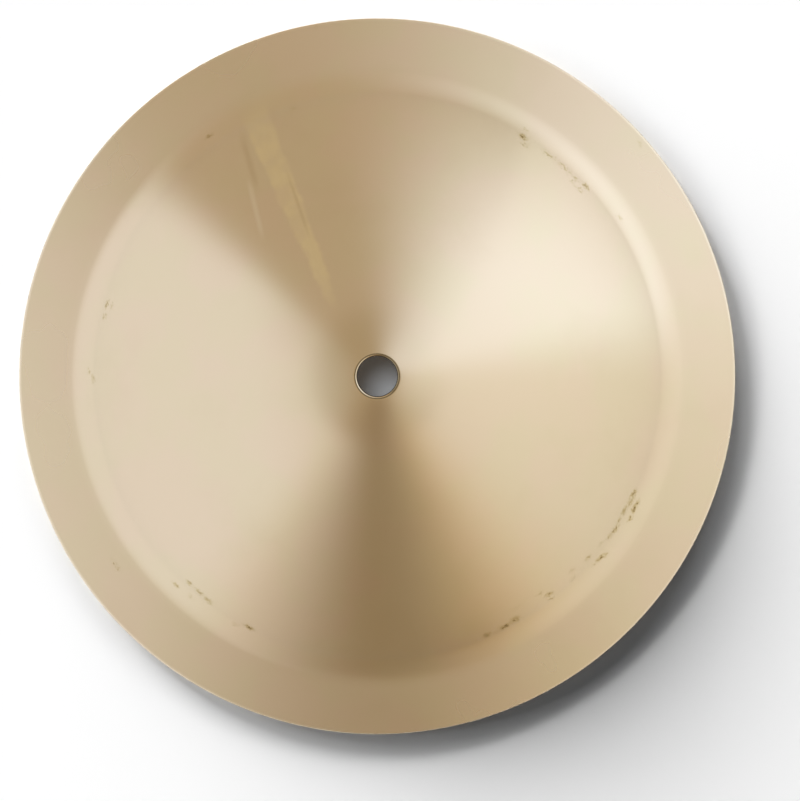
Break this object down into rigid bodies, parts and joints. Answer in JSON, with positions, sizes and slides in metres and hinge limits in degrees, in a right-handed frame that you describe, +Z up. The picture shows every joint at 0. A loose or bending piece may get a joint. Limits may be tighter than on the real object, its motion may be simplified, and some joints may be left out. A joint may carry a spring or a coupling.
{
  "type": "bell cymbal",
  "caption": "Thick cast bronze bell cymbal: a round dome with a stand hole at its top, a hollow shoulder and a narrow sloping flange.",
  "frame": {"origin": "on the axis, level with the narrow flat ring under the rim that the cymbal rests on", "axes": "+Z up along the axis through the stand hole, towards the top of the dome; +X and +Y are alike, because the cymbal is round"},
  "size_m": [0.2414, 0.2414, 0.041],
  "materials": {
    "bell_bronze": "buffed"
  },
  "bodies": {
    "root": {"cymbal_plate": "bell_bronze"}
  },
  "joints": []
}
